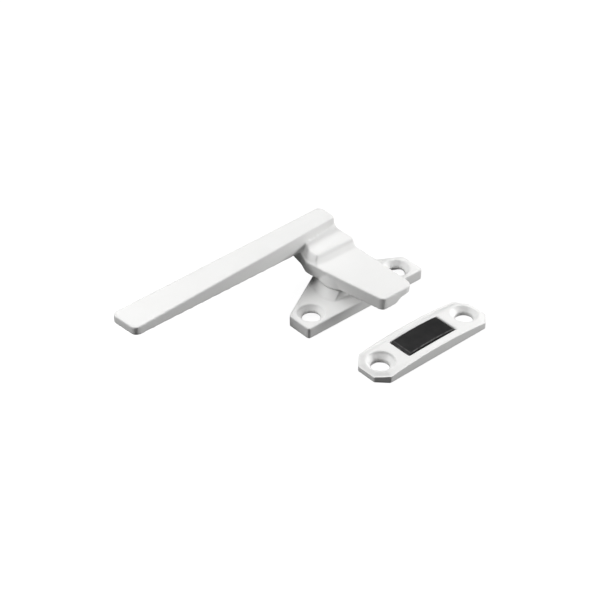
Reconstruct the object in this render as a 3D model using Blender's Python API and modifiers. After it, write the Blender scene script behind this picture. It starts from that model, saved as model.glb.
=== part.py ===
"""Cam-handle lock for a casement or awning window, with its separate strike plate.

The base plate screws to the window frame. The handle is one casting: a long arm, a stepped hub and a flat cam
nose. It turns on a rivet through the base, and its nose slides over the pad of the strike plate on the sash and
pulls the sash shut. The handle is shown closed, and the strike lies in front of the nose, as the pair is sold.

Origin: on the mounting face, midway between the base's two screw holes. +X runs along the hole line, +Y points
from the hole line to the pivot, and +Z points out of the window, so the mounting faces are at Z = 0.
"""

import math

import bmesh
import bpy
from mathutils import Matrix, Vector

MM = 0.001

# Gaps and tolerances, in millimetres
FIT_GAP = 0.3
WELD = 0.005
SAME = 0.02
OVERSHOOT = 1.0  # how far a cutter passes through the face it opens

# Base plate
BASE_HALF_LENGTH = 25.6
BASE_FRONT_Y = -6.3
BASE_END_WIDTH = 9.8
BASE_THICK = 4.15
BASE_APEX_RADIUS = 11.6
BASE_CORNER_RADIUS = 1.0
BASE_SHOULDER_RADIUS = 1.5
BASE_TOP_BEVEL = 0.5
PIVOT_Y = 4.8
HOLE_SPACING = 38.1

# Pedestal in the middle of the base plate, which carries the hub
PEDESTAL_TOP_Z = 7.1
PEDESTAL_FOOT_Z = 3.6
PEDESTAL_TOP_FRONT_Y = -0.4
PEDESTAL_FOOT_FRONT_Y = -0.8
PEDESTAL_TOP_RADIUS = 8.6
PEDESTAL_FOOT_RADIUS = 11.4
PEDESTAL_BEVEL = 0.35

# Pockets in the underside, which leave an even wall around each screw hole
POCKET_CEILING_Z = 1.4
POCKET_WALL = 2.0
POCKET_INNER_X = 8.0
POCKET_CORNER_RADIUS = 1.0

# Countersunk screw holes, for No. 10 screws
SCREW_HOLE_RADIUS = 3.05
SINK_RADIUS = 4.55
SINK_WALL = 0.35
SINK_DEPTH = 1.9

# Pivot stack, from the bottom of the base up to the blind bore in the hub
PIVOT_BORE_RADIUS = 3.0
PIVOT_SHANK_RADIUS = 2.7
RIVET_HEAD_RADIUS = 3.9
RIVET_HEAD_BOTTOM_Z = 0.3
RIVET_HEAD_THICK = 0.8
RIVET_HEAD_EDGE = 0.45
RIVET_HEAD_CHAMFER = 0.8
RIVET_TIP_CHAMFER = 0.4
UNDER_RECESS_RADIUS = 4.4
UNDER_RECESS_DEPTH = 3.2
WASHER_RADIUS = 4.1
FLAT_WASHER_THICK = 0.6
WAVE_WASHER_RADIUS = 3.9
WAVE_WASHER_THICK = 0.3
WAVE_HEIGHT = 0.15
WAVE_COUNT = 3
BEARING_RADIUS = 4.4
BEARING_THICK = 0.8
BEARING_BORE_RADIUS = 3.1
BEARING_RECESS_DEPTH = 1.2
HUB_BORE_TOP_Z = 10.9

# Handle: levels, then outlines
HUB_BOTTOM_Z = 7.4
HUB_BOSS_RADIUS = 9.2
HUB_BOSS_EDGE = 0.3
HUB_BOSS_TOP_Z = 11.5
HUB_BOSS_TOP_RADIUS = 8.0
HUB_BOSS_SIDE_TOP_Z = 8.0
NOSE_BOTTOM_Z = 7.8
NOSE_TOP_Z = 12.4
STEP_TOP_Z = 15.2
ARM_TOP_Z = 19.2
ARM_TIP_BOTTOM_Z = 16.1
ARM_HUB_BOTTOM_Z = 11.3
CAST_BEVEL = 0.6
NOSE_TIP_Y = -18.4
HUB_RIGHT_X = 9.6
HUB_REAR_Y = 27.0
STEP_RIGHT_X = 9.45
STEP_REAR_Y = 24.0
ARM_END_X = 9.3
NOSE_OUTLINE = [  # x, y, corner radius
    (-4.5, NOSE_TIP_Y, 1.9),
    (8.9, NOSE_TIP_Y, 2.8),
    (9.3, 0.0, 30.0),
    (HUB_RIGHT_X, 12.0, 30.0),
    (HUB_RIGHT_X, HUB_REAR_Y, 1.5),
    (-5.6, HUB_REAR_Y, 2.0),
    (-7.4, 18.5, 6.0),
    (-9.3, 14.0, 3.0),
    (-7.4, -0.2, 30.0),
]
STEP_OUTLINE = [
    (STEP_RIGHT_X, 5.0, 0.0),
    (STEP_RIGHT_X, STEP_REAR_Y, 0.0),
    (-3.0, STEP_REAR_Y, 0.0),
    (-4.6, 19.6, 2.0),
    (-6.9, 14.5, 5.0),
    (-6.4, 5.0, 0.0),
]
ARM_TIP_X = -79.3
ARM_OUTLINE = [
    (ARM_TIP_X + 0.95, 14.0, 1.9),
    (ARM_END_X, 20.2, 1.2),
    (ARM_END_X, 28.3, 2.0),
    (ARM_TIP_X, 25.5, 1.9),
]
STEP_FOOT_Y = 5.5
STEP_FRONT_Y = 10.9
STEP_FRONT_FILLET = 2.4
STEP_EDGE = 0.4
STEP_ROOT = 0.5  # how deep the steps are rooted in the nose
STEP_DRAFT = 0.62  # sideways run of the steps' left wall for each millimetre down
STEP_SINK = 0.05  # the fillet starts this far below the nose's top, so that the two surfaces cross
ARM_FACE_Y = 20.6
ARM_FACE_FILLET = 2.2
STAIRS_REAR_Y = 28.0
STAIRS_LEFT_X = -20.0
STAIRS_RIGHT_X = 15.0

# Ramp under the nose, which lifts it onto the strike as the handle closes
RAMP_START_X = 1.6
RAMP_KNEE_X = 3.8
RAMP_KNEE_Z = 9.2
RAMP_END_Z = 10.1
RAMP_REAR_Y = -3.0
RAMP_CUT_X = 20.0

# Strike plate and its pad
STRIKE_CENTRE_X = 0.3
STRIKE_CENTRE_Y = -32.3
STRIKE_LENGTH = 49.8
STRIKE_HOLE_SPACING = 37.5
STRIKE_WIDTH = 15.0
STRIKE_CHAMFER = 3.8
STRIKE_HEIGHT = 3.9
STRIKE_END_HEIGHT = 2.9
STRIKE_TOP_BEVEL = 1.2
STRIKE_CORNER_RADIUS = 0.6
CROWN_CUTS = 12
PAD_POCKET_LENGTH = 21.0
PAD_POCKET_WIDTH = 9.1
PAD_POCKET_FLOOR_Z = 1.6
PAD_END_TOP_Z = 4.0
PAD_MID_TOP_Z = 4.5
PAD_END_CHAMFER = 0.7
PAD_ARCH_STEPS = 12

# Arcs are cut into chords this short, but no chord turns more than the angle.
ARC_STEP = math.radians(12)
ARC_CHORD = 1.6
TURN_STEPS = 48
STRAIGHT = math.radians(89.5)  # half the angle at a corner that is too flat to round
SHARP = math.radians(32)  # faces that meet at more than this keep a hard edge in the shading
UPRIGHT = 0.9  # how steep the drafted arm's upright edges are, as the Z part of their direction
EDGE_CUTS = 2
CAST_CUTS = 3


# Lays an outline drawn as (x, z) upright, so that it is extruded along Y.
SIDE_VIEW = Matrix(((1, 0, 0, 0), (0, 0, -1, 0), (0, 1, 0, 0), (0, 0, 0, 1)))
# Lays an outline drawn as (y, z) upright, so that it is extruded along X.
END_VIEW = Matrix(((0, 0, 1, 0), (1, 0, 0, 0), (0, 1, 0, 0), (0, 0, 0, 1)))


def clear_scene():
    for obj in list(bpy.data.objects):
        bpy.data.objects.remove(obj, do_unlink=True)


def new_collection(name, hidden=False):
    collection = bpy.data.collections.new(name)
    collection.hide_render = hidden
    bpy.context.scene.collection.children.link(collection)
    return collection


def material(name, colour, roughness, metallic):
    mat = bpy.data.materials.new(name)
    mat.use_nodes = True
    shader = mat.node_tree.nodes["Principled BSDF"]
    shader.inputs["Base Color"].default_value = (*colour, 1.0)
    shader.inputs["Roughness"].default_value = roughness
    shader.inputs["Metallic"].default_value = metallic
    return mat


def arc(centre, radius, start, end):
    """Points of an arc, both ends included, angles in radians."""
    steps = max(2, math.ceil(abs(end - start) / min(ARC_STEP, ARC_CHORD / radius)))
    angles = [start + (end - start) * i / steps for i in range(steps + 1)]
    return [Vector((centre[0] + radius * math.cos(a), centre[1] + radius * math.sin(a))) for a in angles]


def rounded(corners):
    """The outline through corners (x, y, radius), each corner rounded by an arc."""
    outline = []
    for i, (x, y, radius) in enumerate(corners):
        corner = Vector((x, y))
        before = (Vector(corners[i - 1][:2]) - corner).normalized()
        after = (Vector(corners[(i + 1) % len(corners)][:2]) - corner).normalized()
        half = before.angle(after) / 2
        if radius == 0 or half > STRAIGHT:
            outline.append(corner)
            continue
        centre = corner + (before + after).normalized() * (radius / math.sin(half))
        first = corner + before * (radius / math.tan(half))
        last = corner + after * (radius / math.tan(half))
        start = math.atan2(first.y - centre.y, first.x - centre.x)
        turn = Vector((first.x - centre.x, first.y - centre.y)).angle_signed(last - centre)
        outline += arc(centre, radius, start, start - turn)
    return outline


def rectangle(centre, half_x, half_y):
    return [(centre[0] + half_x * sx, centre[1] + half_y * sy) for sx, sy in ((-1, -1), (1, -1), (1, 1), (-1, 1))]


def place(obj, collection, mat=None):
    for owner in list(obj.users_collection):
        owner.objects.unlink(obj)
    collection.objects.link(obj)
    if collection.hide_render:
        obj.hide_render = True
        obj.display_type = "WIRE"
    if mat:
        obj.data.materials.append(mat)
    return obj


def extruded(name, outline, low, high, collection, mat=None, matrix=None):
    """A solid with the given outline between two heights, all in millimetres. A matrix lays it another way up."""
    curve = bpy.data.curves.new(name + "_outline", "CURVE")
    curve.dimensions = "2D"
    curve.fill_mode = "BOTH"
    curve.extrude = (high - low) / 2 * MM
    spline = curve.splines.new("POLY")
    spline.points.add(len(outline) - 1)
    for point, (x, y) in zip(spline.points, outline):
        point.co = (x * MM, y * MM, 0, 1)
    spline.use_cyclic_u = True
    guide = bpy.data.objects.new(name + "_outline", curve)
    guide.matrix_world = (matrix or Matrix()) @ Matrix.Translation((0, 0, (high + low) / 2 * MM))
    bpy.context.scene.collection.objects.link(guide)
    bpy.context.view_layer.update()
    graph = bpy.context.evaluated_depsgraph_get()
    mesh = bpy.data.meshes.new_from_object(guide.evaluated_get(graph))
    mesh.name = name
    mesh.transform(guide.matrix_world)
    bpy.data.objects.remove(guide)
    bpy.data.curves.remove(curve)
    shape = bmesh.new()
    shape.from_mesh(mesh)
    bmesh.ops.remove_doubles(shape, verts=shape.verts, dist=WELD * MM)
    bmesh.ops.recalc_face_normals(shape, faces=shape.faces)
    shape.to_mesh(mesh)
    shape.free()
    return place(bpy.data.objects.new(name, mesh), collection, mat)


def turned(name, profile, centre, collection, mat=None):
    """A solid of revolution about the vertical through centre. The profile runs down its outer side."""
    mesh = bpy.data.meshes.new(name)
    points = [(radius * MM, 0, z * MM) for radius, z in profile]
    mesh.from_pydata(points, [(i, i + 1) for i in range(len(points) - 1)], [])
    obj = place(bpy.data.objects.new(name, mesh), collection, mat)
    obj.location = (centre[0] * MM, centre[1] * MM, 0)
    screw = obj.modifiers.new("turn", "SCREW")
    screw.steps = TURN_STEPS
    screw.render_steps = TURN_STEPS
    screw.use_merge_vertices = True
    screw.merge_threshold = WELD * MM
    return obj


def ring(name, inner, outer, low, high, centre, collection, mat):
    """A plain washer: the profile is a closed loop that doesn't reach the axis."""
    profile = [(outer, high), (outer, low), (inner, low), (inner, high), (outer, high)]
    return turned(name, profile, centre, collection, mat)


def bevel(obj, width, segments, chosen):
    """Rounds the edges for which chosen(middle in millimetres, direction) is true."""
    weights = obj.data.attributes.new("bevel_weight_edge", "FLOAT", "EDGE")
    for edge in obj.data.edges:
        a, b = (obj.data.vertices[i].co / MM for i in edge.vertices)
        weights.data[edge.index].value = float(chosen((a + b) / 2, (b - a).normalized()))
    modifier = obj.modifiers.new("round", "BEVEL")
    modifier.limit_method = "WEIGHT"
    modifier.width = width * MM
    modifier.segments = segments
    modifier.use_clamp_overlap = True


def combine(obj, other, operation):
    modifier = obj.modifiers.new(f"{operation.lower()}_{other.name}", "BOOLEAN")
    modifier.operation = operation
    modifier.solver = "EXACT"
    modifier.object = other


def smooth(obj):
    obj.data.shade_smooth()
    obj.data.set_sharp_from_angle(angle=SHARP)


def near(value, target):
    return abs(value - target) < SAME


def screw_hole(name, x, y, top, collection):
    """Cutter for a countersunk hole: a short straight wall, a cone and a through hole."""
    profile = [
        (0, top + OVERSHOOT),
        (SINK_RADIUS, top + OVERSHOOT),
        (SINK_RADIUS, top - SINK_WALL),
        (SCREW_HOLE_RADIUS, top - SINK_DEPTH),
        (SCREW_HOLE_RADIUS, -OVERSHOOT),
        (0, -OVERSHOOT),
    ]
    return turned(name, profile, (x, y), collection)


def pedestal_outline():
    """The foot: a circle about the pivot, cut off straight at the front."""
    start = math.asin((PEDESTAL_FOOT_FRONT_Y - PIVOT_Y) / PEDESTAL_FOOT_RADIUS)
    return arc((0, PIVOT_Y), PEDESTAL_FOOT_RADIUS, start, math.pi - start)


def narrow_pedestal(obj):
    """Draws the top of the pedestal in, so that its walls lean towards the pivot."""
    front_half = math.sqrt(PEDESTAL_TOP_RADIUS**2 - (PIVOT_Y - PEDESTAL_TOP_FRONT_Y) ** 2)
    for vertex in obj.data.vertices:
        x, y, z = vertex.co / MM
        if not near(z, PEDESTAL_TOP_Z):
            continue
        if near(y, PEDESTAL_FOOT_FRONT_Y):
            vertex.co.xy = Vector((math.copysign(front_half, x), PEDESTAL_TOP_FRONT_Y)) * MM
        else:
            out = Vector((x, y - PIVOT_Y)).normalized() * PEDESTAL_TOP_RADIUS
            vertex.co.xy = (out + Vector((0, PIVOT_Y))) * MM


def base_outline(inset):
    """Straight front and ends, and slanted sides that touch a circle about the pivot. Inset shrinks it evenly."""
    half, front = BASE_HALF_LENGTH - inset, BASE_FRONT_Y + inset
    shoulder_y = BASE_FRONT_Y + BASE_END_WIDTH
    reach = math.hypot(BASE_HALF_LENGTH, PIVOT_Y - shoulder_y)
    slope = math.asin(BASE_APEX_RADIUS / reach) + math.atan2(PIVOT_Y - shoulder_y, BASE_HALF_LENGTH)
    apex_y = shoulder_y + BASE_HALF_LENGTH * math.tan(slope) - inset / math.cos(slope)
    corner = max(BASE_CORNER_RADIUS - inset, POCKET_CORNER_RADIUS)
    shoulder = (half, apex_y - half * math.tan(slope))
    return rounded([
        (-half, front, corner),
        (half, front, corner),
        (*shoulder, BASE_SHOULDER_RADIUS),
        (0, apex_y, BASE_APEX_RADIUS - inset),
        (-shoulder[0], shoulder[1], BASE_SHOULDER_RADIUS),
    ])


def build_base(parts, cutters, mat):
    base = extruded("base_plate", base_outline(0), 0, BASE_THICK, parts, mat)
    bevel(base, BASE_TOP_BEVEL, EDGE_CUTS, lambda middle, run: near(middle.z, BASE_THICK))

    pedestal = extruded("pedestal", pedestal_outline(), PEDESTAL_FOOT_Z, PEDESTAL_TOP_Z, cutters)
    narrow_pedestal(pedestal)
    bevel(pedestal, PEDESTAL_BEVEL, EDGE_CUTS, lambda middle, run: near(middle.z, PEDESTAL_TOP_Z))
    combine(base, pedestal, "UNION")

    for side in (-1, 1):
        hole = screw_hole(f"base_hole_{side + 1}", side * HOLE_SPACING / 2, 0, BASE_THICK, cutters)
        combine(base, hole, "DIFFERENCE")
    pockets = extruded("underside_pockets", base_outline(POCKET_WALL), -OVERSHOOT, POCKET_CEILING_Z, cutters)
    web = rectangle((0, 0), POCKET_INNER_X, 2 * BASE_HALF_LENGTH)
    combine(pockets, extruded("pocket_web", web, -2 * OVERSHOOT, BASE_THICK, cutters), "DIFFERENCE")
    combine(base, pockets, "DIFFERENCE")
    floor_z = PEDESTAL_TOP_Z - BEARING_RECESS_DEPTH
    pivot_cut = [
        (0, PEDESTAL_TOP_Z + OVERSHOOT),
        (BEARING_RADIUS + FIT_GAP, PEDESTAL_TOP_Z + OVERSHOOT),
        (BEARING_RADIUS + FIT_GAP, floor_z),
        (PIVOT_BORE_RADIUS, floor_z),
        (PIVOT_BORE_RADIUS, UNDER_RECESS_DEPTH),
        (UNDER_RECESS_RADIUS, UNDER_RECESS_DEPTH),
        (UNDER_RECESS_RADIUS, -OVERSHOOT),
        (0, -OVERSHOOT),
    ]
    combine(base, turned("pivot_cut", pivot_cut, (0, PIVOT_Y), cutters), "DIFFERENCE")
    smooth(base)


def step_profile():
    """Side view of the two steps, as (y, z): nose top, fillet, step, fillet, arm face. It starts inside the nose."""
    low, high = NOSE_TOP_Z - STEP_ROOT, ARM_TOP_Z - OVERSHOOT
    nose_z = NOSE_TOP_Z - STEP_SINK
    front = arc((STEP_FRONT_Y - STEP_FRONT_FILLET, nose_z + STEP_FRONT_FILLET), STEP_FRONT_FILLET, -math.pi / 2, 0)
    rear = arc((ARM_FACE_Y - ARM_FACE_FILLET, STEP_TOP_Z + ARM_FACE_FILLET), ARM_FACE_FILLET, -math.pi / 2, 0)
    foot = [(STEP_FOOT_Y, low), (STEP_FOOT_Y, nose_z)]
    back = [(ARM_FACE_Y, high), (STAIRS_REAR_Y, high), (STAIRS_REAR_Y, low)]
    return foot + front + [(STEP_FRONT_Y + STEP_EDGE, STEP_TOP_Z)] + rear + back


def build_handle(parts, cutters, mat):
    handle = extruded("handle", rounded(NOSE_OUTLINE), NOSE_BOTTOM_Z, NOSE_TOP_Z, parts, mat)
    faces_z = (NOSE_TOP_Z, NOSE_BOTTOM_Z)
    bevel(handle, CAST_BEVEL, CAST_CUTS, lambda middle, run: any(near(middle.z, z) for z in faces_z))

    boss = turned(
        "hub_boss",
        [
            (0, HUB_BOSS_TOP_Z),
            (HUB_BOSS_TOP_RADIUS, HUB_BOSS_TOP_Z),
            (HUB_BOSS_RADIUS, HUB_BOSS_SIDE_TOP_Z),
            (HUB_BOSS_RADIUS, HUB_BOTTOM_Z + HUB_BOSS_EDGE),
            (HUB_BOSS_RADIUS - HUB_BOSS_EDGE, HUB_BOTTOM_Z),
            (0, HUB_BOTTOM_Z),
        ],
        (0, PIVOT_Y),
        cutters,
    )
    combine(handle, boss, "UNION")

    # The side view is extruded across the hub, then trimmed to the step's own outline.
    stairs = extruded("stairs", step_profile(), STAIRS_LEFT_X, STAIRS_RIGHT_X, cutters, matrix=END_VIEW)
    trim = extruded("step_trim", rounded(STEP_OUTLINE), NOSE_BOTTOM_Z, ARM_TOP_Z, cutters)
    for vertex in trim.data.vertices:
        if vertex.co.x < 0:
            vertex.co.x -= (STEP_TOP_Z * MM - vertex.co.z) * STEP_DRAFT
    combine(stairs, trim, "INTERSECT")
    combine(handle, stairs, "UNION")

    arm = extruded("arm", rounded(ARM_OUTLINE), ARM_HUB_BOTTOM_Z, ARM_TOP_Z, cutters)
    rise = (ARM_TIP_BOTTOM_Z - ARM_HUB_BOTTOM_Z) / (ARM_END_X - ARM_TIP_X)
    for vertex in arm.data.vertices:
        if near(vertex.co.z / MM, ARM_HUB_BOTTOM_Z):
            vertex.co.z += (ARM_END_X * MM - vertex.co.x) * rise
    bevel(arm, CAST_BEVEL, CAST_CUTS, lambda middle, run: abs(run.z) < UPRIGHT)
    combine(handle, arm, "UNION")

    run_out = OVERSHOOT * (RAMP_KNEE_X - RAMP_START_X) / (RAMP_KNEE_Z - NOSE_BOTTOM_Z)
    ramp_outline = [
        (RAMP_START_X - run_out, NOSE_BOTTOM_Z - OVERSHOOT),
        (RAMP_CUT_X, NOSE_BOTTOM_Z - OVERSHOOT),
        (RAMP_CUT_X, RAMP_END_Z + OVERSHOOT),
        (HUB_RIGHT_X, RAMP_END_Z),
        (RAMP_KNEE_X, RAMP_KNEE_Z),
    ]
    ramp = extruded("ramp", ramp_outline, -RAMP_REAR_Y, OVERSHOOT - NOSE_TIP_Y, cutters, matrix=SIDE_VIEW)
    combine(handle, ramp, "DIFFERENCE")

    bore = turned(
        "hub_bore",
        [
            (0, HUB_BORE_TOP_Z),
            (PIVOT_BORE_RADIUS, HUB_BORE_TOP_Z),
            (PIVOT_BORE_RADIUS, HUB_BOTTOM_Z - OVERSHOOT),
            (0, HUB_BOTTOM_Z - OVERSHOOT),
        ],
        (0, PIVOT_Y),
        cutters,
    )
    combine(handle, bore, "DIFFERENCE")
    smooth(handle)
    handle_origin_to_pivot(handle)


def handle_origin_to_pivot(obj):
    """Moves the object's origin onto the joint's axis, leaving the shape where it is."""
    obj.data.transform(Matrix.Translation((0, -PIVOT_Y * MM, 0)))
    obj.location = (0, PIVOT_Y * MM, 0)


def build_pivot(parts, steel, nylon):
    head_top = RIVET_HEAD_BOTTOM_Z + RIVET_HEAD_THICK
    rivet = [
        (0, HUB_BORE_TOP_Z - FIT_GAP),
        (PIVOT_SHANK_RADIUS - RIVET_TIP_CHAMFER, HUB_BORE_TOP_Z - FIT_GAP),
        (PIVOT_SHANK_RADIUS, HUB_BORE_TOP_Z - FIT_GAP - RIVET_TIP_CHAMFER),
        (PIVOT_SHANK_RADIUS, head_top),
        (RIVET_HEAD_RADIUS, head_top),
        (RIVET_HEAD_RADIUS, head_top - RIVET_HEAD_EDGE),
        (RIVET_HEAD_RADIUS - RIVET_HEAD_CHAMFER, RIVET_HEAD_BOTTOM_Z),
        (0, RIVET_HEAD_BOTTOM_Z),
    ]
    smooth(turned("pivot_rivet", rivet, (0, PIVOT_Y), parts, steel))

    inner = PIVOT_SHANK_RADIUS + FIT_GAP
    flat_low = head_top + FIT_GAP
    flat_high = flat_low + FLAT_WASHER_THICK
    smooth(ring("flat_washer", inner, WASHER_RADIUS, flat_low, flat_high, (0, PIVOT_Y), parts, steel))

    wave_low = flat_high + FIT_GAP + WAVE_HEIGHT
    wave_high = wave_low + WAVE_WASHER_THICK
    wave = ring("wave_washer", inner, WAVE_WASHER_RADIUS, wave_low, wave_high, (0, PIVOT_Y), parts, steel)
    apply_modifiers(wave)
    for vertex in wave.data.vertices:
        angle = math.atan2(vertex.co.y, vertex.co.x)
        vertex.co.z += WAVE_HEIGHT * MM * math.sin(WAVE_COUNT * angle)
    smooth(wave)

    low = PEDESTAL_TOP_Z - BEARING_RECESS_DEPTH + FIT_GAP
    high = low + BEARING_THICK
    smooth(ring("bearing_washer", BEARING_BORE_RADIUS, BEARING_RADIUS, low, high, (0, PIVOT_Y), parts, nylon))


def apply_modifiers(obj):
    bpy.context.view_layer.update()
    graph = bpy.context.evaluated_depsgraph_get()
    mesh = bpy.data.meshes.new_from_object(obj.evaluated_get(graph))
    obj.modifiers.clear()
    obj.data = mesh


def crown_drop(x):
    """How far the strike's top lies below its middle at this distance along it, in millimetres."""
    return (STRIKE_HEIGHT - STRIKE_END_HEIGHT) * (2 * x / STRIKE_LENGTH) ** 2


def crown(obj):
    """Cuts the strike into short lengths and lowers everything above its underside to the crowned top."""
    shape = bmesh.new()
    shape.from_mesh(obj.data)
    for i in range(1, CROWN_CUTS):
        x = STRIKE_CENTRE_X + (i / CROWN_CUTS - 0.5) * STRIKE_LENGTH
        whole = shape.verts[:] + shape.edges[:] + shape.faces[:]
        bmesh.ops.bisect_plane(shape, geom=whole, plane_co=(x * MM, 0, 0), plane_no=(1, 0, 0), dist=WELD * MM)
    for vertex in shape.verts:
        if not near(vertex.co.z / MM, 0):
            vertex.co.z -= crown_drop(vertex.co.x / MM - STRIKE_CENTRE_X) * MM
    shape.to_mesh(obj.data)
    shape.free()


def build_strike(parts, cutters, white, black):
    half, side, cut = STRIKE_LENGTH / 2, STRIKE_WIDTH / 2, STRIKE_CHAMFER
    corners = []
    for sx, sy in ((-1, -1), (1, -1), (1, 1), (-1, 1)):
        end, flank = (sx * half, sy * (side - cut)), (sx * (half - cut), sy * side)
        for x, y in (end, flank) if sx * sy > 0 else (flank, end):
            corners.append((STRIKE_CENTRE_X + x, STRIKE_CENTRE_Y + y, STRIKE_CORNER_RADIUS))
    strike = extruded("strike_plate", rounded(corners), 0, STRIKE_HEIGHT, parts, white)
    bevel(strike, STRIKE_TOP_BEVEL, CAST_CUTS, lambda middle, run: near(middle.z, STRIKE_HEIGHT))
    apply_modifiers(strike)
    crown(strike)
    for sign in (-1, 1):
        x = sign * STRIKE_HOLE_SPACING / 2
        top = STRIKE_HEIGHT - crown_drop(x)
        hole = screw_hole(f"strike_hole_{sign + 1}", STRIKE_CENTRE_X + x, STRIKE_CENTRE_Y, top, cutters)
        combine(strike, hole, "DIFFERENCE")
    half_x, half_y = PAD_POCKET_LENGTH / 2, PAD_POCKET_WIDTH / 2
    outline = rectangle((STRIKE_CENTRE_X, STRIKE_CENTRE_Y), half_x, half_y)
    pocket = extruded("pad_pocket", outline, PAD_POCKET_FLOOR_Z, STRIKE_HEIGHT + OVERSHOOT, cutters)
    combine(strike, pocket, "DIFFERENCE")
    smooth(strike)

    # The pad's side view is an arch with bevelled ends, extruded across its width.
    reach = half_x - FIT_GAP
    rise = PAD_MID_TOP_Z - PAD_END_TOP_Z
    radius = (reach**2 + rise**2) / (2 * rise)
    open_angle = math.asin((reach - PAD_END_CHAMFER) / radius)
    angles = [open_angle * (1 - 2 * i / PAD_ARCH_STEPS) for i in range(PAD_ARCH_STEPS + 1)]
    arch = [(radius * math.sin(a), PAD_MID_TOP_Z - radius + radius * math.cos(a)) for a in angles]
    low = PAD_POCKET_FLOOR_Z + FIT_GAP
    shoulder = PAD_END_TOP_Z - PAD_END_CHAMFER
    side_view = [
        (STRIKE_CENTRE_X + x, z) for x, z in [(-reach, low), (reach, low), (reach, shoulder), *arch, (-reach, shoulder)]
    ]
    pad_front, pad_rear = STRIKE_CENTRE_Y - half_y + FIT_GAP, STRIKE_CENTRE_Y + half_y - FIT_GAP
    smooth(extruded("strike_pad", side_view, -pad_rear, -pad_front, parts, black, SIDE_VIEW))


def build():
    clear_scene()
    parts = new_collection("window_cam_lock")
    cutters = new_collection("cutters", hidden=True)
    white = material("white_enamel", (0.86, 0.86, 0.85), 0.35, 0.0)
    steel = material("zinc_steel", (0.62, 0.62, 0.60), 0.32, 1.0)
    nylon = material("natural_nylon", (0.78, 0.76, 0.70), 0.5, 0.0)
    black = material("black_nylon", (0.025, 0.025, 0.027), 0.45, 0.0)
    build_base(parts, cutters, white)
    build_handle(parts, cutters, white)
    build_pivot(parts, steel, nylon)
    build_strike(parts, cutters, white, black)


build()
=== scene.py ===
# %% [markdown]
# # A cam-handle window lock and its strike plate
#
# The lock is three white die-castings (base plate, handle and strike plate), a black moulded pad let into
# the strike, and a small steel pivot stack under the handle. The CAD model fixes every size and place. This
# script only gives the parts their finished surfaces: softly rounded cast edges, a satin paint, moulded
# grain, a plain studio and a camera.

import math

import bmesh
import bpy
import numpy as np
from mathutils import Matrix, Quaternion, Vector


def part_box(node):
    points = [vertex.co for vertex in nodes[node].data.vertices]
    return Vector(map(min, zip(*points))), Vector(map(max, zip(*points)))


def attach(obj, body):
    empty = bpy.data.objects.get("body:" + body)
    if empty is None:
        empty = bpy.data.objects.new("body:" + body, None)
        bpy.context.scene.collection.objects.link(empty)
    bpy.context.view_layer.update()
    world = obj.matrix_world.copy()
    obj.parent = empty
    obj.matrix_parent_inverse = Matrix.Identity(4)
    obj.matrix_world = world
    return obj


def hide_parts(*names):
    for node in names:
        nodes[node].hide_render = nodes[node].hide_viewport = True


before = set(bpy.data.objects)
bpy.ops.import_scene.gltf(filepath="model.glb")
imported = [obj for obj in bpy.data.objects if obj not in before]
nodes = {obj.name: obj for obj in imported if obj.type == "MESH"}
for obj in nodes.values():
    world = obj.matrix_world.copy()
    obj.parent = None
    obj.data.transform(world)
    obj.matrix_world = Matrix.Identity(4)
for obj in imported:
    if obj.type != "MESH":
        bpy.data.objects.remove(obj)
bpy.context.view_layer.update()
MM = 0.001
print("CAD nodes:", ", ".join(sorted(nodes)))

# %% [markdown]
# ## Camera
#
# A long lens, close to 95 mm, keeps the parallel edges of the castings almost parallel. A short lens close
# by would make the arm's tip look larger than it is. The camera looks down from the left front corner. It
# could be placed by typing its position and rotation, but an aim point, two angles and a distance are
# easier to think about, because each can be changed on its own.

# %% Place the camera
AIM = Vector((-19.9, 4.6, 7.0)) * MM
AZIMUTH, ELEVATION, ROLL = math.radians(-40.7), math.radians(36.7), math.radians(-0.2)
DISTANCE = 513.7 * MM
LENS, SENSOR = 94.5, 36.0

camera_data = bpy.data.cameras.new("camera")
camera_data.lens = LENS
camera_data.sensor_width = SENSOR
camera_data.clip_start = 0.01
camera = bpy.data.objects.new("camera", camera_data)
bpy.context.scene.collection.objects.link(camera)
back = Vector((
    math.sin(AZIMUTH) * math.cos(ELEVATION),
    -math.cos(AZIMUTH) * math.cos(ELEVATION),
    math.sin(ELEVATION),
))
camera.location = AIM + back * DISTANCE
camera.rotation_mode = "QUATERNION"
camera.rotation_quaternion = (-back).to_track_quat("-Z", "Y") @ Quaternion((0, 0, 1), ROLL)
bpy.context.scene.camera = camera
print("camera at", [round(v, 3) for v in camera.location])

# %% [markdown]
# ## Node helpers
#
# A material is a tree of nodes. Built with plain calls it takes many lines that all look alike, so a few
# helpers keep the recipes readable. `add` makes a node and fills its sockets, `new_group` starts a node
# group with named inputs and outputs, and `use` places that group in a material. A group is built once and
# serves every material, each with its own values.


# %% Helpers for nodes
def add(tree, kind, links=None, **settings):
    """Adds a node. Settings name its properties, and links give its inputs a socket or a value each."""
    node = tree.nodes.new(kind)
    for name, value in settings.items():
        setattr(node, name, value)
    for name, value in (links or {}).items():
        socket = node.inputs[name]
        if isinstance(value, bpy.types.NodeSocket):
            tree.links.new(value, socket)
        else:
            socket.default_value = value
    return node


def new_group(name, inputs, outputs):
    """A node group with float or vector inputs {name: (type, default)} and outputs {name: type}."""
    group = bpy.data.node_groups.new(name, "ShaderNodeTree")
    for label, (kind, default) in inputs.items():
        socket = group.interface.new_socket(label, in_out="INPUT", socket_type=kind)
        if default is not None:
            socket.default_value = default
    for label, kind in outputs.items():
        group.interface.new_socket(label, in_out="OUTPUT", socket_type=kind)
    start = group.nodes.new("NodeGroupInput")
    end = group.nodes.new("NodeGroupOutput")
    return group, start.outputs, end.inputs


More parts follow.
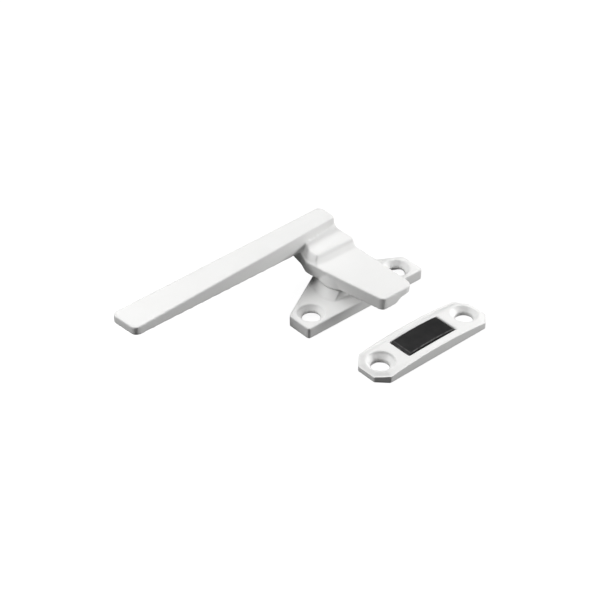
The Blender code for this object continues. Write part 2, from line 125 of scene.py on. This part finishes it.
def use(tree, group, **inputs):
    """Places a node group in a material. Its inputs are named with an underscore for each space."""
    links = {name.replace("_", " "): value for name, value in inputs.items()}
    return add(tree, "ShaderNodeGroup", links, node_tree=group).outputs


def new_material(name):
    mat = bpy.data.materials.new(name)
    mat.use_nodes = True
    tree = mat.node_tree
    return mat, tree, tree.nodes["Principled BSDF"]


def math_node(tree, operation, a, b):
    return add(tree, "ShaderNodeMath", {0: a, 1: b}, operation=operation).outputs[0]


# Several sockets of the Mix node share a name, so the ones for colours go by number.
MIX_FACTOR, MIX_FIRST, MIX_SECOND, MIX_RESULT = 0, 6, 7, 2


def mix_colour(tree, factor, first, second):
    links = {MIX_FACTOR: factor, MIX_FIRST: first, MIX_SECOND: second}
    return add(tree, "ShaderNodeMix", links, data_type="RGBA").outputs[MIX_RESULT]


def spread(tree, value, low, high, source=(0.0, 1.0)):
    """Maps a value from the source range to the range from low to high."""
    ends = {"From Min": source[0], "From Max": source[1], "To Min": low, "To Max": high}
    return add(tree, "ShaderNodeMapRange", {"Value": value, **ends}).outputs[0]


FLOAT, VECTOR = "NodeSocketFloat", "NodeSocketVector"
print("node helpers ready")

# %% [markdown]
# ## Orange peel
#
# Sprayed and baked paint never levels out completely. It keeps a faint ripple a millimetre or so wide,
# called orange peel, and its shade drifts a little over longer distances. Moulded nylon and turned steel
# have a grain of the same kind, only finer. An image texture could carry it, but noise has no seams, needs
# no unwrapping and works at any scale, so one group with a size in millimetres serves all four finishes.

# %% Orange peel group
peel, peel_in, peel_out = new_group(
    "orange_peel",
    {"Size mm": (FLOAT, 1.0), "Position": (VECTOR, None)},
    {"Height": FLOAT, "Tone": FLOAT},
)
cells_per_metre = math_node(peel, "DIVIDE", 1000.0, peel_in["Size mm"])
fine = add(
    peel, "ShaderNodeTexNoise", {"Vector": peel_in["Position"], "Scale": cells_per_metre, "Detail": 1.5}
)
broad = add(peel, "ShaderNodeTexNoise", {"Vector": peel_in["Position"], "Scale": 90.0, "Detail": 2.0})
peel.links.new(fine.outputs["Fac"], peel_out["Height"])
peel.links.new(broad.outputs["Fac"], peel_out["Tone"])
print("group", peel.name)

# %% [markdown]
# ## Edge wear and edge highlight
#
# Paint draws back from a sharp edge while it bakes, and later a window handle is rubbed there by fingers.
# Both leave the edges a little greyer than the flats. Cycles knows how sharply the surface turns at each
# point and calls it pointiness: 0.5 is flat and more is a ridge. The group turns that into a mask and
# breaks it up with noise, because an even line along every edge would look drawn on. On the paint the mask
# marks wear. On the black pad the same mask paints the edges lighter, which is a painted highlight.

# %% Edge wear and edge highlight group
wear_and_highlight, wear_and_highlight_in, wear_and_highlight_out = new_group(
    "edge_wear_and_highlight",
    {"Position": (VECTOR, None), "Patch mm": (FLOAT, 3.0), "Start": (FLOAT, 0.52), "Full": (FLOAT, 0.60)},
    {"Mask": FLOAT},
)
# On the paint this mask marks wear. On the black pad it places a painted edge highlight.
turning = add(wear_and_highlight, "ShaderNodeNewGeometry").outputs["Pointiness"]
ridge = spread(wear_and_highlight, turning, 0.0, 1.0, (wear_and_highlight_in["Start"], wear_and_highlight_in["Full"]))
edge_noise_scale = math_node(wear_and_highlight, "DIVIDE", 1000.0, wear_and_highlight_in["Patch mm"])
edge_noise = add(wear_and_highlight, "ShaderNodeTexNoise", {"Vector": wear_and_highlight_in["Position"], "Scale": edge_noise_scale, "Detail": 3.0})
broken = spread(wear_and_highlight, edge_noise.outputs["Fac"], 0.2, 1.0, (0.35, 0.65))
wear_and_highlight.links.new(math_node(wear_and_highlight, "MULTIPLY", ridge, broken), wear_and_highlight_out["Mask"])
print("group", wear_and_highlight.name)

# %% [markdown]
# ## Settled dust
#
# Fine dust lies on whatever faces up and leaves the walls clean. The group compares the surface's direction
# with straight up and lets noise thin the layer out in patches. The amounts used below are small: the lock
# is new, and the dust only takes the last shine off its upper faces.

# %% Dust group
dust, dust_in, dust_out = new_group(
    "settled_dust",
    {"Position": (VECTOR, None), "Patch mm": (FLOAT, 6.0), "Amount": (FLOAT, 0.1)},
    {"Mask": FLOAT},
)
facing = add(dust, "ShaderNodeSeparateXYZ", {0: add(dust, "ShaderNodeNewGeometry").outputs["Normal"]})
level = spread(dust, facing.outputs["Z"], 0.0, 1.0, (0.6, 1.0))
dust_scale = math_node(dust, "DIVIDE", 1000.0, dust_in["Patch mm"])
drifts = add(dust, "ShaderNodeTexNoise", {"Vector": dust_in["Position"], "Scale": dust_scale, "Detail": 4.0})
patches = spread(dust, drifts.outputs["Fac"], 0.0, 1.0, (0.4, 0.7))
lying = math_node(dust, "MULTIPLY", level, patches)
dust.links.new(math_node(dust, "MULTIPLY", lying, dust_in["Amount"]), dust_out["Mask"])
print("group", dust.name)

# %% [markdown]
# ## White enamel
#
# The three castings are sprayed and baked white. Pure white would leave no room for highlights, so the
# paint gives back a little under four fifths of the light. Tone drifts slowly over the surface, the
# roughness drifts with it, the ripple goes into a weak bump, and worn edges let a little of the grey metal
# through.

# %% White enamel material
PAINT_DARKER, PAINT_LIGHTER = (0.765, 0.765, 0.758, 1), (0.80, 0.80, 0.793, 1)
METAL_UNDER_PAINT, DUST_ON_WHITE = (0.60, 0.60, 0.60, 1), (0.70, 0.69, 0.67, 1)
MOST_WEAR, PAINT_ROUGHNESS = 0.45, (0.42, 0.52)


def white_enamel():
    mat, tree, shader = new_material("white_enamel_baked")
    place = add(tree, "ShaderNodeTexCoord").outputs["Object"]
    skin = use(tree, peel, Size_mm=0.9, Position=place)
    paint = mix_colour(tree, skin["Tone"], PAINT_DARKER, PAINT_LIGHTER)
    thin = math_node(tree, "MULTIPLY", use(tree, wear_and_highlight, Position=place, Patch_mm=2.5)["Mask"], MOST_WEAR)
    rubbed_paint = mix_colour(tree, thin, paint, METAL_UNDER_PAINT)
    film = use(tree, dust, Position=place, Patch_mm=7.0, Amount=0.12)["Mask"]
    tree.links.new(mix_colour(tree, film, rubbed_paint, DUST_ON_WHITE), shader.inputs["Base Color"])
    gloss = spread(tree, skin["Tone"], *PAINT_ROUGHNESS)
    tree.links.new(math_node(tree, "ADD", gloss, film), shader.inputs["Roughness"])
    bump = add(tree, "ShaderNodeBump", {"Height": skin["Height"], "Strength": 0.06, "Distance": 0.0001})
    tree.links.new(bump.outputs[0], shader.inputs["Normal"])
    return mat


ENAMEL = white_enamel()
print("material", ENAMEL.name, "with", len(ENAMEL.node_tree.nodes), "nodes")

# %% [markdown]
# ## Black nylon
#
# The pad that the nose slides over is moulded in black nylon. Its face is matt, with a grain much finer
# than the paint's. Its edges are painted lighter than its face: a painted highlight, laid along the edges by
# the edge mask where a rounded edge would catch the light. A low specular level keeps the soft sheen of a
# slightly greasy plastic from turning the black into grey.

# %% Black nylon material
NYLON_DARKER, NYLON_LIGHTER = (0.006, 0.006, 0.0063, 1), (0.012, 0.012, 0.0126, 1)
PAINTED_EDGE_HIGHLIGHT, DUST_ON_BLACK = (0.10, 0.10, 0.10, 1), (0.30, 0.29, 0.28, 1)
NYLON_ROUGHNESS, NYLON_SPECULAR = (0.42, 0.58), 0.18


def black_nylon():
    mat, tree, shader = new_material("black_nylon_moulded")
    place = add(tree, "ShaderNodeTexCoord").outputs["Object"]
    skin = use(tree, peel, Size_mm=0.25, Position=place)
    plastic = mix_colour(tree, skin["Tone"], NYLON_DARKER, NYLON_LIGHTER)
    # Painted highlight: a lighter colour along the pad's edges, where a rounded edge would catch the light.
    edge_highlight_mask = use(tree, wear_and_highlight, Position=place, Patch_mm=1.5, Start=0.5005, Full=0.515)["Mask"]
    with_edge_highlight = mix_colour(tree, edge_highlight_mask, plastic, PAINTED_EDGE_HIGHLIGHT)
    film = use(tree, dust, Position=place, Patch_mm=3.0, Amount=0.02)["Mask"]
    tree.links.new(mix_colour(tree, film, with_edge_highlight, DUST_ON_BLACK), shader.inputs["Base Color"])
    tree.links.new(spread(tree, skin["Height"], *NYLON_ROUGHNESS), shader.inputs["Roughness"])
    shader.inputs["Specular IOR Level"].default_value = NYLON_SPECULAR
    bump = add(tree, "ShaderNodeBump", {"Height": skin["Height"], "Strength": 0.25, "Distance": 0.00005})
    tree.links.new(bump.outputs[0], shader.inputs["Normal"])
    return mat


NYLON = black_nylon()
print("material", NYLON.name, "with", len(NYLON.node_tree.nodes), "nodes")

# %% [markdown]
# ## Zinc-plated steel and natural nylon
#
# The rivet and two of its washers are plated steel, and the bearing washer is undyed nylon, which is
# slightly cream. Both are hidden unless the lock is turned over, but they are still real finishes: the
# steel is a metal whose grain scatters the reflections, and the nylon is matt and a little uneven.

# %% Steel and natural nylon materials
DUST_ON_GREY = (0.45, 0.44, 0.42, 1)


def grained(name, grain_mm, dark, light, smoothest, roughest, metallic):
    mat, tree, shader = new_material(name)
    place = add(tree, "ShaderNodeTexCoord").outputs["Object"]
    skin = use(tree, peel, Size_mm=grain_mm, Position=place)
    body = mix_colour(tree, skin["Tone"], dark, light)
    film = use(tree, dust, Position=place, Patch_mm=2.0, Amount=0.10)["Mask"]
    tree.links.new(mix_colour(tree, film, body, DUST_ON_GREY), shader.inputs["Base Color"])
    tree.links.new(spread(tree, skin["Height"], smoothest, roughest), shader.inputs["Roughness"])
    shader.inputs["Metallic"].default_value = metallic
    bump = add(tree, "ShaderNodeBump", {"Height": skin["Height"], "Strength": 0.15, "Distance": 0.00003})
    tree.links.new(bump.outputs[0], shader.inputs["Normal"])
    print("material", name, "with", len(tree.nodes), "nodes")
    return mat


STEEL = grained(
    "zinc_steel_turned", grain_mm=0.15, dark=(0.56, 0.56, 0.55, 1), light=(0.68, 0.68, 0.66, 1),
    smoothest=0.24, roughest=0.42, metallic=1.0,
)
PLAIN_NYLON = grained(
    "natural_nylon_moulded", grain_mm=0.3, dark=(0.70, 0.68, 0.62, 1), light=(0.78, 0.76, 0.70, 1),
    smoothest=0.42, roughest=0.56, metallic=0.0,
)

# %% [markdown]
# ## A cast skin
#
# Die-cast parts have no sharp corners: metal has to flow round them, so every outer edge is slightly round
# and every inner corner carries a fillet. The CAD solids have their shape from joined blocks, with hard
# seams where the blocks meet. A bevel modifier can't follow such seams. Here each solid is covered with an
# even skin of small quads instead, and the skin is relaxed: each point moves towards the mean of its
# neighbours, which melts corners and leaves flat faces alone. The size of the quads sets how fine an edge
# can be. Numpy does the relaxing for all points at once.

# %% Cover a CAD solid with a skin
WELD = 0.005


def skin_of(node, voxel):
    """An even skin of small quads over a CAD node, as an object. Voxel is their size in millimetres."""
    shape = bmesh.new()
    shape.from_mesh(nodes[node].data)
    bmesh.ops.remove_doubles(shape, verts=shape.verts, dist=WELD * MM)
    mesh = bpy.data.meshes.new(node + "_skin")
    shape.to_mesh(mesh)
    shape.free()
    piece = bpy.data.objects.new(node + "_skin", mesh)
    bpy.context.scene.collection.objects.link(piece)
    remesh = piece.modifiers.new("skin", "REMESH")
    remesh.mode = "VOXEL"
    remesh.voxel_size = voxel * MM
    graph = bpy.context.evaluated_depsgraph_get()
    skin = bpy.data.meshes.new_from_object(piece.evaluated_get(graph))
    piece.modifiers.clear()
    piece.data = skin
    print(node, "is covered with", len(skin.polygons), "quads")
    return piece


# %% [markdown]
# ### Points and edges as arrays
#
# A skin has tens of thousands of points. Blender hands them over in one call and takes them back in
# another, which is far quicker than a loop in Python. The helpers work in millimetres, like every limit
# below.

# %% Read and write a mesh as arrays
def points_of(mesh):
    """The vertices in millimetres, as an array with one row each."""
    points = np.empty(len(mesh.vertices) * 3)
    mesh.vertices.foreach_get("co", points)
    return points.reshape(-1, 3) / MM


def edges_of(mesh):
    ends = np.empty(len(mesh.edges) * 2, dtype=np.int32)
    mesh.edges.foreach_get("vertices", ends)
    return ends.reshape(-1, 2)


def put_points(mesh, points):
    mesh.vertices.foreach_set("co", (points * MM).ravel())
    mesh.update()


# %% [markdown]
# ### Relaxing
#
# The mean of the neighbours is counted from the list of edges: each edge adds one end's place to the
# other's sum. A weight for each point limits the relaxing to some places.

# %% Relax a skin
def neighbour_mean(values, ends):
    """For each vertex the mean of its neighbours' values."""
    count = np.bincount(ends.ravel(), minlength=len(values))
    columns = [
        np.bincount(ends[:, 0], values[ends[:, 1], k], len(values))
        + np.bincount(ends[:, 1], values[ends[:, 0], k], len(values))
        for k in range(values.shape[1])
    ]
    return np.stack(columns, axis=1) / count[:, None]


def relax(mesh, passes, weight=1.0):
    """Moves each vertex halfway to the mean of its neighbours. Weight can be one for each vertex."""
    points, ends = points_of(mesh), edges_of(mesh)
    share = np.broadcast_to(weight, len(points))[:, None] * 0.5
    for _ in range(passes):
        points += share * (neighbour_mean(points, ends) - points)
    put_points(mesh, points)


# %% [markdown]
# ### Inner corners
#
# In an inner corner the mean of the neighbours lies out in the open, along the surface's own direction.
# That tells it from an outer edge. The mask grows by a few rings of points, so that the fillet runs out
# softly.

# %% Fill the inner corners
HOLLOW, RING_GROWTH = 0.02, 1.6


def fill_corners(mesh, passes, spread_rings, where):
    """Rounds the inner corners only, as molten metal does. Where picks vertices from their points."""
    points, ends = points_of(mesh), edges_of(mesh)
    normals = np.empty(len(points) * 3)
    mesh.vertices.foreach_get("normal", normals)
    hollow = ((neighbour_mean(points, ends) - points) * normals.reshape(-1, 3)).sum(axis=1)
    mask = ((hollow > HOLLOW) & where(points)).astype(float)[:, None]
    for _ in range(spread_rings):
        mask = np.maximum(mask, np.minimum(1.0, neighbour_mean(mask, ends) * RING_GROWTH))
    relax(mesh, passes, mask[:, 0])


# %% [markdown]
# ### Finished pieces
#
# A finished skin takes its material, moves with its body and stands in for its CAD node from then on.

# %% Put a finished surface in the place of a CAD node
def finish_piece(piece, name, node, body, mat):
    piece.name = name
    piece.data.name = name
    piece.data.materials.clear()
    piece.data.materials.append(mat)
    piece.data.shade_smooth()
    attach(piece, body)
    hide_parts(node)
    print(name, "has", len(piece.data.polygons), "faces")


print("skin helpers ready")

# %% [markdown]
# ## Handle
#
# The handle is one casting: a long tapered arm, two steps down through the hub, and a flat nose that works
# as the cam. Fingers rest on the arm, so its edges are generously round. The fillets at the steps are
# small, except where the round boss over the rivet runs out into the side of the nose in one broad curve.
# That one place gets many more passes. The bore for the rivet and the foot of the steps' left wall stay
# crisp.

# %% Handle
low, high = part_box("pivot_rivet")
HUB_X, HUB_Y = (low[0] + high[0]) / 2 / MM, (low[1] + high[1]) / 2 / MM
BORE_REACH = 4.5
WALL_FOOT_RIGHT, WALL_FOOT_FRONT, WALL_FOOT_BOTTOM = -6.0, 9.0, 12.0
FLARE_RIGHT, FLARE_BACK, FLARE_TOP = -5.0, 16.0, 11.8
print("the handle turns about", round(HUB_X, 2), round(HUB_Y, 2))


def from_hub(points):
    return np.hypot(points[:, 0] - HUB_X, points[:, 1] - HUB_Y)


def rounded_in_the_mould(points):
    """All but the rivet's bore and the crisp foot of the steps' left wall."""
    x, y, z = points.T
    wall_foot = (x < WALL_FOOT_RIGHT) & (y > WALL_FOOT_FRONT) & (z > WALL_FOOT_BOTTOM)
    return (from_hub(points) > BORE_REACH) & ~wall_foot


def flare_of_the_boss(points):
    """The left side of the nose, below its top edge."""
    x, y, z = points.T
    return (x < FLARE_RIGHT) & (y < FLARE_BACK) & (z < FLARE_TOP)


handle = skin_of("handle", voxel=0.28)
relax(handle.data, passes=3)
fill_corners(handle.data, passes=24, spread_rings=3, where=rounded_in_the_mould)
fill_corners(handle.data, passes=120, spread_rings=9, where=flare_of_the_boss)
relax(handle.data, passes=3)
finish_piece(handle, "handle_casting", "handle", "lever", ENAMEL)

# %% [markdown]
# ## Base plate
#
# The base is screwed to the window frame through two countersunk holes. Its pedestal flows into the plate
# in a broad fillet, because that is where the pull of the handle is carried. The same helpers do it: a
# light relaxing for all the edges, then many passes in the corner round the pedestal only.

# %% Base plate
PEDESTAL_REACH, BELOW_THE_FILLET = 7.5, 3.4


def around_the_pedestal(points):
    return (from_hub(points) > PEDESTAL_REACH) & (points[:, 2] > BELOW_THE_FILLET)


base = skin_of("base_plate", voxel=0.22)
relax(base.data, passes=4)
fill_corners(base.data, passes=40, spread_rings=5, where=around_the_pedestal)
relax(base.data, passes=3)
finish_piece(base, "base_casting", "base_plate", "base", ENAMEL)

# %% [markdown]
# ## Strike plate
#
# The strike is a long octagon with a slightly crowned top. Its rim is not a simple round: the top slopes
# off in a gentle shoulder and then breaks over a crisp edge into a short side wall, and the shoulder is
# deepest at the two ends. A bevel gives only an even round, so the CAD's round is undone here by formula
# and the shoulder put in its place. Each point keeps its place in plan, and only its height is scaled.

# %% Strike plate
low, high = (Vector(corner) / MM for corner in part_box("strike_plate"))
STRIKE_X, STRIKE_Y = (low.x + high.x) / 2, (low.y + high.y) / 2
STRIKE_HALF_LENGTH, STRIKE_HALF_WIDTH, STRIKE_TOP = (high.x - low.x) / 2, (high.y - low.y) / 2, high.z
STRIKE_CHAMFER, CAD_BEVEL = 3.8, 1.2
SHOULDER_WIDTH, SHOULDER_MIDDLE, SHOULDER_END = 2.8, 0.8, 1.5
print("the strike is", round(2 * STRIKE_HALF_LENGTH, 1), "mm long and", round(STRIKE_TOP, 2), "mm high")


def inset_of(points):
    """How far inside the plate's outline each point lies, in millimetres."""
    x, y = np.abs(points[:, 0] - STRIKE_X), np.abs(points[:, 1] - STRIKE_Y)
    corner = (STRIKE_HALF_LENGTH + STRIKE_HALF_WIDTH - STRIKE_CHAMFER - x - y) / math.sqrt(2)
    return np.maximum(0.0, np.minimum(np.minimum(STRIKE_HALF_LENGTH - x, STRIKE_HALF_WIDTH - y), corner))


def soften_rim(mesh):
    """Turns the rim's round into a gentle shoulder with a crisp edge, deeper towards the two ends."""
    points = points_of(mesh)
    along = np.abs(points[:, 0] - STRIKE_X) / STRIKE_HALF_LENGTH
    depth = SHOULDER_MIDDLE + (SHOULDER_END - SHOULDER_MIDDLE) * along**2
    crown = STRIKE_TOP - along**2
    inset = inset_of(points)
    shoulder = depth * (1.0 - np.minimum(inset / SHOULDER_WIDTH, 1.0)) ** 2
    round_left = 1.0 - np.minimum(inset / CAD_BEVEL, 1.0)
    cad_round = CAD_BEVEL * (1.0 - np.sqrt(1.0 - round_left**2))
    points[:, 2] *= (crown - shoulder) / (crown - cad_round)
    put_points(mesh, points)


strike = skin_of("strike_plate", voxel=0.22)
soften_rim(strike.data)
relax(strike.data, passes=5)
finish_piece(strike, "strike_casting", "strike_plate", "strike", ENAMEL)

# %% [markdown]
# ## Pad
#
# The pad is pressed into the strike's pocket. It is arched, so that the nose rides up on it gently, and its
# ends are bevelled. It needs no new shape, only the small rounds of a moulding, so a fine skin and a little
# relaxing are enough. The thin dark gap around it is real and stays open.

# %% Pad
pad = skin_of("strike_pad", voxel=0.12)
relax(pad.data, passes=5)
finish_piece(pad, "strike_pad_moulded", "strike_pad", "strike", NYLON)

# %% [markdown]
# ## Pivot stack
#
# The rivet and the washers under the hub are turned or stamped, and their CAD shapes are already right.
# Such nodes stay as they are and only get a better material in their slots.

# %% Pivot stack
for node, mat in (
    ("pivot_rivet", STEEL),
    ("flat_washer", STEEL),
    ("wave_washer", STEEL),
    ("bearing_washer", PLAIN_NYLON),
):
    for slot in nodes[node].material_slots:
        slot.material = mat
    print(node, "is finished in", mat.name)

# %% [markdown]
# ## Floor
#
# The parts lie on a pale sweep that shows no shadow. A white floor would do that only by lighting the parts
# strongly from below. This one is darker than it looks: it glows for the camera alone, with the help of the
# Light Path node, and gives the parts back only an eighth of their light, so that their walls keep their
# shading.

# %% Floor
def pale_card(name, reflect, glow_seen):
    """Pale to the camera. To the parts it is a plain surface that returns only a part of the light."""
    mat, tree, shader = new_material(name)
    shader.inputs["Base Color"].default_value = (reflect, reflect, reflect, 1)
    shader.inputs["Roughness"].default_value = 0.9
    shader.inputs["Specular IOR Level"].default_value = 0.0
    shader.inputs["Emission Color"].default_value = (1, 1, 1, 1)
    path = add(tree, "ShaderNodeLightPath")
    glow = math_node(tree, "MULTIPLY", path.outputs["Is Camera Ray"], glow_seen)
    tree.links.new(glow, shader.inputs["Emission Strength"])
    return mat


FLOOR_SIZE, FLOOR_Z = 6.0, -0.02 * MM
floor_mesh = bpy.data.meshes.new("floor")
half = FLOOR_SIZE / 2
corners = [(-half, -half, FLOOR_Z), (half, -half, FLOOR_Z), (half, half, FLOOR_Z), (-half, half, FLOOR_Z)]
floor_mesh.from_pydata(corners, [], [(0, 1, 2, 3)])
floor = bpy.data.objects.new("floor", floor_mesh)
bpy.context.scene.collection.objects.link(floor)
floor_mesh.materials.append(pale_card("pale_floor", reflect=0.12, glow_seen=0.95))

# %% [markdown]
# ## Lights
#
# White parts on white need light that draws their walls in different greys. A wide softbox overhead makes
# the tops nearly white and fades towards the corners under the handle. A smaller one on the left lights the
# walls that face left, and stands high enough for the arm to shade the hollow beside the hub's steps. A
# third one, low down on the right, lights the front walls from their right-hand ends. Nothing stands at the
# camera itself, so the corners that point at it stay dark and read as corners.

# %% Lights
def softbox(name, turn, height_angle, distance, width, height, power):
    """An area light aimed at the origin. Turn is in degrees from the camera, clockwise seen from above."""
    across = AZIMUTH - math.radians(turn)
    up = math.radians(height_angle)
    offset = Vector((math.sin(across) * math.cos(up), -math.cos(across) * math.cos(up), math.sin(up)))
    light = bpy.data.lights.new(name, "AREA")
    light.shape = "RECTANGLE"
    light.size, light.size_y = width, height
    light.energy = power
    lamp = bpy.data.objects.new(name, light)
    lamp.location = offset * distance
    lamp.rotation_mode = "QUATERNION"
    lamp.rotation_quaternion = offset.to_track_quat("Z", "Y")
    bpy.context.scene.collection.objects.link(lamp)
    print(name, "gives", power, "W from", [round(v, 2) for v in lamp.location])


softbox("overhead", turn=180.0, height_angle=75.0, distance=0.9, width=1.3, height=1.3, power=8.3)
softbox("camera_left", turn=84.0, height_angle=35.0, distance=0.4, width=0.12, height=0.1, power=0.78)
softbox("camera_right", turn=-97.0, height_angle=18.0, distance=0.5, width=0.28, height=0.2, power=2.2)

# %% [markdown]
# ## Surroundings
#
# The world is white behind the parts and almost black as a light source, again by way of the Light Path
# node. The plain Standard view keeps the paint's whites neutral. The filmic ones would grey them.

# %% World
SKY_LIGHT, SKY_SEEN = 0.03, 1.0
world = bpy.data.worlds.new("studio")
world.use_nodes = True
bpy.context.scene.world = world
sky = world.node_tree
background = sky.nodes["Background"]
path = add(sky, "ShaderNodeLightPath")
sky.links.new(spread(sky, path.outputs["Is Camera Ray"], SKY_LIGHT, SKY_SEEN), background.inputs["Strength"])
background.inputs["Color"].default_value = (1, 1, 1, 1)
bpy.context.scene.view_settings.view_transform = "Standard"
print("view transform", bpy.context.scene.view_settings.view_transform)
